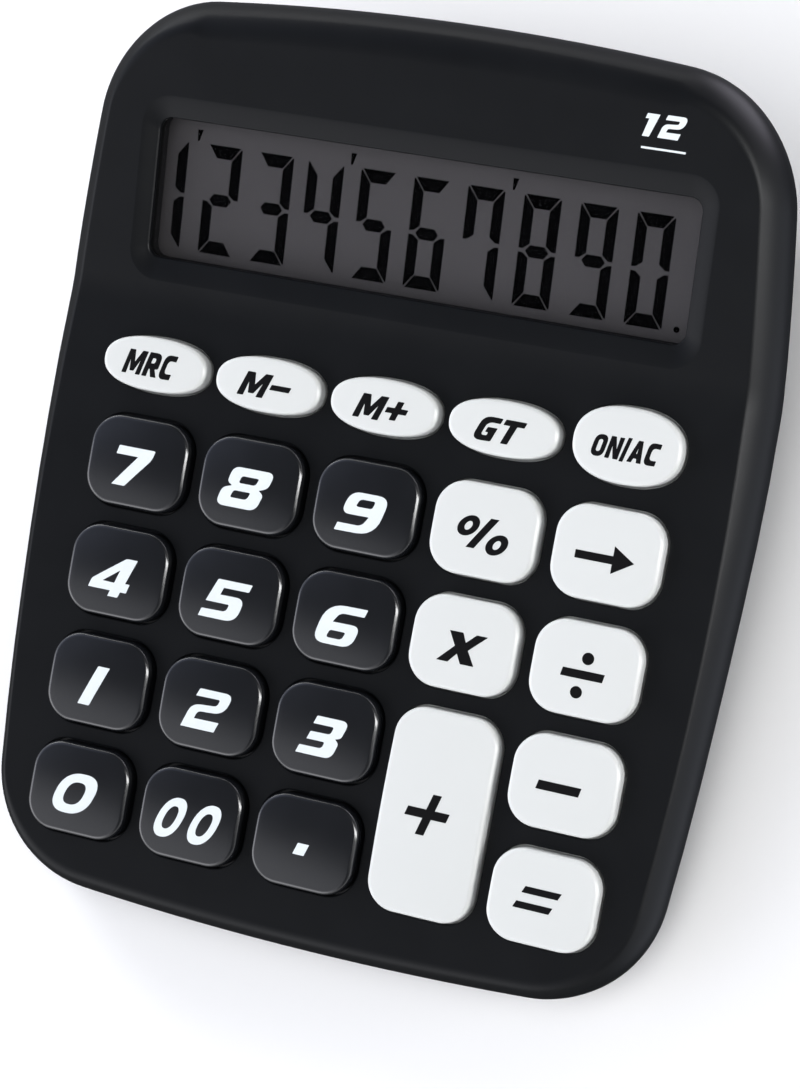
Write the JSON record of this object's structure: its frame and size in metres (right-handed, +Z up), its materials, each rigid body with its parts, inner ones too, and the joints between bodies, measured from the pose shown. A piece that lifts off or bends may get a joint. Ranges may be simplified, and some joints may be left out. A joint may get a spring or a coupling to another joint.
{
  "type": "desk calculator",
  "caption": "Wedge-shaped desk calculator with a sloping liquid crystal display, a grid of sprung push keys, a row of oval function keys and a sliding battery door underneath.",
  "frame": {"origin": "on the desk, under the middle of the object's box", "axes": "+X to the user's right, +Y away from the user towards the display, +Z up"},
  "size_m": [0.1508, 0.1839, 0.047],
  "materials": {
    "case_black": "satin moulded ABS, charcoal black",
    "key_black": "semi-gloss moulded plastic, black",
    "key_white": "semi-gloss moulded plastic, white",
    "window_clear": "polished clear acrylic",
    "display_glass": "liquid crystal glass with polariser",
    "frame_black": "matte black plastic",
    "silicone_grey": "translucent grey silicone",
    "strip_pink": "layered conductive silicone",
    "board_green": "solder-masked laminate",
    "epoxy_black": "glossy epoxy",
    "steel": "plated steel",
    "cell_wrap": "printed shrink sleeve",
    "ribbon_grey": "flexible flat cable",
    "lead_red": "PVC insulation",
    "lead_black": "PVC insulation",
    "foot_rubber": "matte rubber"
  },
  "bodies": {
    "case": {"top_cover": "case_black", "bottom_cover": "case_black", "display_window": "window_clear", "display_frame": "frame_black", "display_glass": "display_glass", "contact_strip": "strip_pink", "logic_board": "board_green", "chip_cover": "epoxy_black", "keypad_board": "board_green", "key_mat": "silicone_grey", "battery_cell": "cell_wrap", "contact_negative": "steel", "contact_positive": "steel", "contact_spring": "steel", "lead_red": "lead_red", "lead_black": "lead_black", "ribbon_cable": "ribbon_grey", "case_screw_1": "steel", "keypad_screw_1": "steel", "logic_screw_1": "steel", "case_screw_2": "steel", "keypad_screw_2": "steel", "logic_screw_2": "steel", "case_screw_3": "steel", "keypad_screw_3": "steel", "logic_screw_3": "steel", "case_screw_4": "steel", "keypad_screw_4": "steel", "logic_screw_4": "steel", "foot_front_left": "foot_rubber", "foot_front_right": "foot_rubber", "foot_rear_left": "foot_rubber", "foot_rear_right": "foot_rubber"},
    "door": {"battery_door": "case_black"},
    "key_0_cap": {"key_0": "key_black"},
    "key_00_cap": {"key_00": "key_black"},
    "key_point_cap": {"key_point": "key_black"},
    "key_1_cap": {"key_1": "key_black"},
    "key_2_cap": {"key_2": "key_black"},
    "key_3_cap": {"key_3": "key_black"},
    "key_4_cap": {"key_4": "key_black"},
    "key_5_cap": {"key_5": "key_black"},
    "key_6_cap": {"key_6": "key_black"},
    "key_7_cap": {"key_7": "key_black"},
    "key_8_cap": {"key_8": "key_black"},
    "key_9_cap": {"key_9": "key_black"},
    "key_plus_cap": {"key_plus": "key_white"},
    "key_times_cap": {"key_times": "key_white"},
    "key_percent_cap": {"key_percent": "key_white"},
    "key_equals_cap": {"key_equals": "key_white"},
    "key_minus_cap": {"key_minus": "key_white"},
    "key_divide_cap": {"key_divide": "key_white"},
    "key_back_cap": {"key_back": "key_white"},
    "key_memory_recall_cap": {"key_memory_recall": "key_white"},
    "key_memory_minus_cap": {"key_memory_minus": "key_white"},
    "key_memory_plus_cap": {"key_memory_plus": "key_white"},
    "key_grand_total_cap": {"key_grand_total": "key_white"},
    "key_on_clear_cap": {"key_on_clear": "key_white"}
  },
  "joints": [
    {"name": "press_0", "type": "slide", "parent": "case", "child": "key_0_cap", "axis": [0, 0.1219, -0.9925], "range_m": [0, 0.0015], "stiffness_N_per_m": 400, "springref_m": -0.0005, "deforming": ["key_mat"]},
    {"name": "press_00", "type": "slide", "parent": "case", "child": "key_00_cap", "axis": [0, 0.1219, -0.9925], "range_m": [0, 0.0015], "stiffness_N_per_m": 400, "springref_m": -0.0005, "deforming": ["key_mat"]},
    {"name": "press_point", "type": "slide", "parent": "case", "child": "key_point_cap", "axis": [0, 0.1219, -0.9925], "range_m": [0, 0.0015], "stiffness_N_per_m": 400, "springref_m": -0.0005, "deforming": ["key_mat"]},
    {"name": "press_1", "type": "slide", "parent": "case", "child": "key_1_cap", "axis": [0, 0.1219, -0.9925], "range_m": [0, 0.0015], "stiffness_N_per_m": 400, "springref_m": -0.0005, "deforming": ["key_mat"]},
    {"name": "press_2", "type": "slide", "parent": "case", "child": "key_2_cap", "axis": [0, 0.1219, -0.9925], "range_m": [0, 0.0015], "stiffness_N_per_m": 400, "springref_m": -0.0005, "deforming": ["key_mat"]},
    {"name": "press_3", "type": "slide", "parent": "case", "child": "key_3_cap", "axis": [0, 0.1219, -0.9925], "range_m": [0, 0.0015], "stiffness_N_per_m": 400, "springref_m": -0.0005, "deforming": ["key_mat"]},
    {"name": "press_4", "type": "slide", "parent": "case", "child": "key_4_cap", "axis": [0, 0.1219, -0.9925], "range_m": [0, 0.0015], "stiffness_N_per_m": 400, "springref_m": -0.0005, "deforming": ["key_mat"]},
    {"name": "press_5", "type": "slide", "parent": "case", "child": "key_5_cap", "axis": [0, 0.1219, -0.9925], "range_m": [0, 0.0015], "stiffness_N_per_m": 400, "springref_m": -0.0005, "deforming": ["key_mat"]},
    {"name": "press_6", "type": "slide", "parent": "case", "child": "key_6_cap", "axis": [0, 0.1219, -0.9925], "range_m": [0, 0.0015], "stiffness_N_per_m": 400, "springref_m": -0.0005, "deforming": ["key_mat"]},
    {"name": "press_7", "type": "slide", "parent": "case", "child": "key_7_cap", "axis": [0, 0.1219, -0.9925], "range_m": [0, 0.0015], "stiffness_N_per_m": 400, "springref_m": -0.0005, "deforming": ["key_mat"]},
    {"name": "press_8", "type": "slide", "parent": "case", "child": "key_8_cap", "axis": [0, 0.1219, -0.9925], "range_m": [0, 0.0015], "stiffness_N_per_m": 400, "springref_m": -0.0005, "deforming": ["key_mat"]},
    {"name": "press_9", "type": "slide", "parent": "case", "child": "key_9_cap", "axis": [0, 0.1219, -0.9925], "range_m": [0, 0.0015], "stiffness_N_per_m": 400, "springref_m": -0.0005, "deforming": ["key_mat"]},
    {"name": "press_plus", "type": "slide", "parent": "case", "child": "key_plus_cap", "axis": [0, 0.1219, -0.9925], "range_m": [0, 0.0015], "stiffness_N_per_m": 400, "springref_m": -0.0005, "deforming": ["key_mat"]},
    {"name": "press_times", "type": "slide", "parent": "case", "child": "key_times_cap", "axis": [0, 0.1219, -0.9925], "range_m": [0, 0.0015], "stiffness_N_per_m": 400, "springref_m": -0.0005, "deforming": ["key_mat"]},
    {"name": "press_percent", "type": "slide", "parent": "case", "child": "key_percent_cap", "axis": [0, 0.1219, -0.9925], "range_m": [0, 0.0015], "stiffness_N_per_m": 400, "springref_m": -0.0005, "deforming": ["key_mat"]},
    {"name": "press_equals", "type": "slide", "parent": "case", "child": "key_equals_cap", "axis": [0, 0.1219, -0.9925], "range_m": [0, 0.0015], "stiffness_N_per_m": 400, "springref_m": -0.0005, "deforming": ["key_mat"]},
    {"name": "press_minus", "type": "slide", "parent": "case", "child": "key_minus_cap", "axis": [0, 0.1219, -0.9925], "range_m": [0, 0.0015], "stiffness_N_per_m": 400, "springref_m": -0.0005, "deforming": ["key_mat"]},
    {"name": "press_divide", "type": "slide", "parent": "case", "child": "key_divide_cap", "axis": [0, 0.1219, -0.9925], "range_m": [0, 0.0015], "stiffness_N_per_m": 400, "springref_m": -0.0005, "deforming": ["key_mat"]},
    {"name": "press_back", "type": "slide", "parent": "case", "child": "key_back_cap", "axis": [0, 0.1219, -0.9925], "range_m": [0, 0.0015], "stiffness_N_per_m": 400, "springref_m": -0.0005, "deforming": ["key_mat"]},
    {"name": "press_memory_recall", "type": "slide", "parent": "case", "child": "key_memory_recall_cap", "axis": [0, 0.1219, -0.9925], "range_m": [0, 0.0015], "stiffness_N_per_m": 400, "springref_m": -0.0005, "deforming": ["key_mat"]},
    {"name": "press_memory_minus", "type": "slide", "parent": "case", "child": "key_memory_minus_cap", "axis": [0, 0.1219, -0.9925], "range_m": [0, 0.0015], "stiffness_N_per_m": 400, "springref_m": -0.0005, "deforming": ["key_mat"]},
    {"name": "press_memory_plus", "type": "slide", "parent": "case", "child": "key_memory_plus_cap", "axis": [0, 0.1219, -0.9925], "range_m": [0, 0.0015], "stiffness_N_per_m": 400, "springref_m": -0.0005, "deforming": ["key_mat"]},
    {"name": "press_grand_total", "type": "slide", "parent": "case", "child": "key_grand_total_cap", "axis": [0, 0.1219, -0.9925], "range_m": [0, 0.0015], "stiffness_N_per_m": 400, "springref_m": -0.0005, "deforming": ["key_mat"]},
    {"name": "press_on_clear", "type": "slide", "parent": "case", "child": "key_on_clear_cap", "axis": [0, 0.1219, -0.9925], "range_m": [0, 0.0015], "stiffness_N_per_m": 400, "springref_m": -0.0005, "deforming": ["key_mat"]},
    {"name": "door_slide", "type": "slide", "parent": "case", "child": "door", "axis": [0, 1, 0], "range_m": [0, 0.036]}
  ]
}
